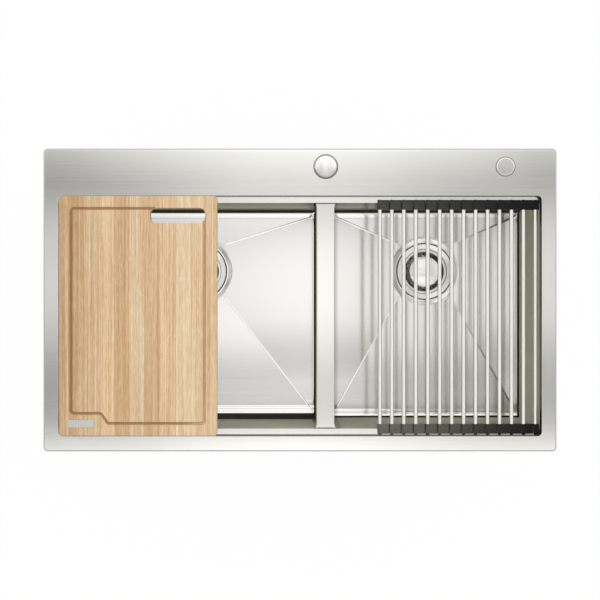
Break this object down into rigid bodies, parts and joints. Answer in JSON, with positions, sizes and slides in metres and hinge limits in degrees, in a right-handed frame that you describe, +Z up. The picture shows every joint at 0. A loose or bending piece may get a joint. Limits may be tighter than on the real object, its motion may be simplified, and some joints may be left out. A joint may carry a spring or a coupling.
{
  "type": "double bowl kitchen sink",
  "caption": "Drop-in steel kitchen sink with two square bowls, a covered tap deck, basket strainers, a sliding cutting board and a rack that rolls up.",
  "frame": {"origin": "middle of the deck in plan, on the worktop surface that the rim rests on", "axes": "+X to the right bowl, +Y to the back where the tap stands, +Z up"},
  "size_m": [0.82, 0.484, 0.3482],
  "materials": {
    "deck_steel": "brushed, fine grain along the deck",
    "bowl_steel": "brushed satin",
    "drain_steel": "turned and polished",
    "polished_steel": "mirror polished",
    "rack_steel": "polished tube",
    "clip_steel": "zinc plated",
    "plate_steel": "brushed",
    "bamboo": "oiled laminated bamboo",
    "silicone": "matt black",
    "seal_rubber": "matt black",
    "pad_rubber": "matt grey",
    "foam": "closed-cell foam",
    "nut_plastic": "black",
    "pipe_plastic": "white polypropylene"
  },
  "bodies": {
    "sink": {"deck_panel": "deck_steel", "step_band": "bowl_steel", "back_ledge": "deck_steel", "front_ledge": "deck_steel", "divider_cap": "deck_steel", "left_bowl": "bowl_steel", "right_bowl": "bowl_steel", "rim_gasket": "foam", "sound_pads": "pad_rubber", "mounting_clips": "clip_steel", "clip_screws": "clip_steel", "tap_hole_cover": "polished_steel", "accessory_hole_cover": "drain_steel", "cover_nuts": "nut_plastic", "drain_body_left": "drain_steel", "drain_body_right": "drain_steel", "tailpiece_left": "pipe_plastic", "tailpiece_right": "pipe_plastic", "flange_gaskets": "seal_rubber", "under_gaskets": "seal_rubber", "lock_nuts": "nut_plastic", "tail_nuts": "pipe_plastic"},
    "board": {"cutting_board": "bamboo", "blank_plate": "plate_steel"},
    "strainer_left": {"basket_left": "drain_steel", "basket_knob_left": "polished_steel", "basket_seal_left": "seal_rubber"},
    "strainer_right": {"basket_right": "drain_steel", "basket_knob_right": "polished_steel", "basket_seal_right": "seal_rubber"},
    "rack_link_01": {"rack_bar_01": "rack_steel", "rack_ends_01": "silicone"},
    "rack_link_02": {"rack_bar_02": "rack_steel", "rack_ends_02": "silicone"},
    "rack_link_03": {"rack_bar_03": "rack_steel", "rack_ends_03": "silicone"},
    "rack_link_04": {"rack_bar_04": "rack_steel", "rack_ends_04": "silicone"},
    "rack_link_05": {"rack_bar_05": "rack_steel", "rack_ends_05": "silicone"},
    "rack_link_06": {"rack_bar_06": "rack_steel", "rack_ends_06": "silicone"},
    "rack_link_07": {"rack_bar_07": "rack_steel", "rack_ends_07": "silicone"},
    "rack_link_08": {"rack_bar_08": "rack_steel", "rack_ends_08": "silicone"},
    "rack_link_09": {"rack_bar_09": "rack_steel", "rack_ends_09": "silicone"},
    "rack_link_10": {"rack_bar_10": "rack_steel", "rack_ends_10": "silicone"},
    "rack_link_11": {"rack_bar_11": "rack_steel", "rack_ends_11": "silicone"},
    "rack_link_12": {"rack_bar_12": "rack_steel", "rack_ends_12": "silicone"},
    "rack_link_13": {"rack_bar_13": "rack_steel", "rack_ends_13": "silicone"},
    "rack_link_14": {"rack_bar_14": "rack_steel", "rack_ends_14": "silicone"}
  },
  "joints": [
    {"name": "board_slide", "type": "slide", "parent": "sink", "child": "board", "axis": [1, 0, 0], "range_m": [0, 0.25]},
    {"name": "strainer_left_lift", "type": "slide", "parent": "sink", "child": "strainer_left", "axis": [0, 0, 1], "range_m": [0, 0.1]},
    {"name": "strainer_right_lift", "type": "slide", "parent": "sink", "child": "strainer_right", "axis": [0, 0, 1], "range_m": [0, 0.1]},
    {"name": "rack_lift", "type": "slide", "parent": "sink", "child": "rack_link_14", "axis": [0, 0, 1], "range_m": [0, 0.15]},
    {"name": "rack_hinge_13", "type": "hinge", "parent": "rack_link_14", "child": "rack_link_13", "pos_m": [0.3736, -0.0254, -0.0017], "axis": [0, 1, 0], "range_deg": [0, 22]},
    {"name": "rack_hinge_12", "type": "hinge", "parent": "rack_link_13", "child": "rack_link_12", "pos_m": [0.3544, -0.0254, -0.0017], "axis": [0, 1, 0], "range_deg": [0, 22]},
    {"name": "rack_hinge_11", "type": "hinge", "parent": "rack_link_12", "child": "rack_link_11", "pos_m": [0.3352, -0.0254, -0.0017], "axis": [0, 1, 0], "range_deg": [0, 22]},
    {"name": "rack_hinge_10", "type": "hinge", "parent": "rack_link_11", "child": "rack_link_10", "pos_m": [0.316, -0.0254, -0.0017], "axis": [0, 1, 0], "range_deg": [0, 22]},
    {"name": "rack_hinge_09", "type": "hinge", "parent": "rack_link_10", "child": "rack_link_09", "pos_m": [0.2968, -0.0254, -0.0017], "axis": [0, 1, 0], "range_deg": [0, 22]},
    {"name": "rack_hinge_08", "type": "hinge", "parent": "rack_link_09", "child": "rack_link_08", "pos_m": [0.2776, -0.0254, -0.0017], "axis": [0, 1, 0], "range_deg": [0, 22]},
    {"name": "rack_hinge_07", "type": "hinge", "parent": "rack_link_08", "child": "rack_link_07", "pos_m": [0.2584, -0.0254, -0.0017], "axis": [0, 1, 0], "range_deg": [0, 22]},
    {"name": "rack_hinge_06", "type": "hinge", "parent": "rack_link_07", "child": "rack_link_06", "pos_m": [0.2392, -0.0254, -0.0017], "axis": [0, 1, 0], "range_deg": [0, 22]},
    {"name": "rack_hinge_05", "type": "hinge", "parent": "rack_link_06", "child": "rack_link_05", "pos_m": [0.22, -0.0254, -0.0017], "axis": [0, 1, 0], "range_deg": [0, 22]},
    {"name": "rack_hinge_04", "type": "hinge", "parent": "rack_link_05", "child": "rack_link_04", "pos_m": [0.2008, -0.0254, -0.0017], "axis": [0, 1, 0], "range_deg": [0, 22]},
    {"name": "rack_hinge_03", "type": "hinge", "parent": "rack_link_04", "child": "rack_link_03", "pos_m": [0.1816, -0.0254, -0.0017], "axis": [0, 1, 0], "range_deg": [0, 22]},
    {"name": "rack_hinge_02", "type": "hinge", "parent": "rack_link_03", "child": "rack_link_02", "pos_m": [0.1624, -0.0254, -0.0017], "axis": [0, 1, 0], "range_deg": [0, 22]},
    {"name": "rack_hinge_01", "type": "hinge", "parent": "rack_link_02", "child": "rack_link_01", "pos_m": [0.1432, -0.0254, -0.0017], "axis": [0, 1, 0], "range_deg": [0, 22]}
  ],
  "couplings": [
    {"joint": "rack_hinge_12", "follows": "rack_hinge_13", "ratio": 1},
    {"joint": "rack_hinge_11", "follows": "rack_hinge_13", "ratio": 1},
    {"joint": "rack_hinge_10", "follows": "rack_hinge_13", "ratio": 1},
    {"joint": "rack_hinge_09", "follows": "rack_hinge_13", "ratio": 1},
    {"joint": "rack_hinge_08", "follows": "rack_hinge_13", "ratio": 1},
    {"joint": "rack_hinge_07", "follows": "rack_hinge_13", "ratio": 1},
    {"joint": "rack_hinge_06", "follows": "rack_hinge_13", "ratio": 1},
    {"joint": "rack_hinge_05", "follows": "rack_hinge_13", "ratio": 1},
    {"joint": "rack_hinge_04", "follows": "rack_hinge_13", "ratio": 1},
    {"joint": "rack_hinge_03", "follows": "rack_hinge_13", "ratio": 1},
    {"joint": "rack_hinge_02", "follows": "rack_hinge_13", "ratio": 1},
    {"joint": "rack_hinge_01", "follows": "rack_hinge_13", "ratio": 1}
  ]
}
